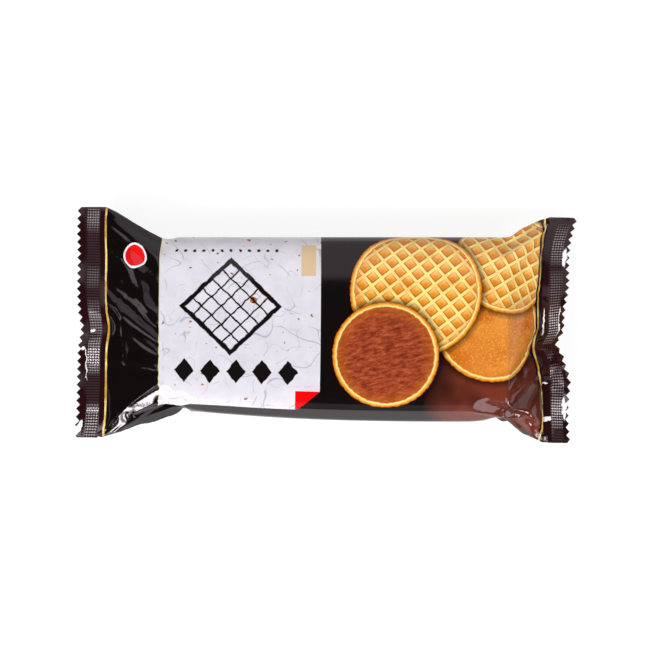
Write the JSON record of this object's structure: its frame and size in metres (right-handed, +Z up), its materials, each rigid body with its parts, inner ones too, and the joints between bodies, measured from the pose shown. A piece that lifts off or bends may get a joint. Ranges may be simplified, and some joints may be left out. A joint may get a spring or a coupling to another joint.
{
  "type": "sealed film pack of an ice cream wafer sandwich",
  "caption": "Sealed glossy film pack for a frozen wafer sandwich, lying flat, with saw-cut crimped end seals and a back seam folded under it.",
  "frame": {"origin": "under the middle of the pack, on the back seam that it lies on", "axes": "+X along the pack towards its right end seal, +Y across it away from the front, +Z up"},
  "size_m": [0.1906, 0.09, 0.0256],
  "materials": {
    "film_pack": "glossy printed packaging film, near black with a white panel, golden and brown printed fields and gold end lines"
  },
  "bodies": {
    "root": {"film_pack": "film_pack"}
  },
  "joints": []
}
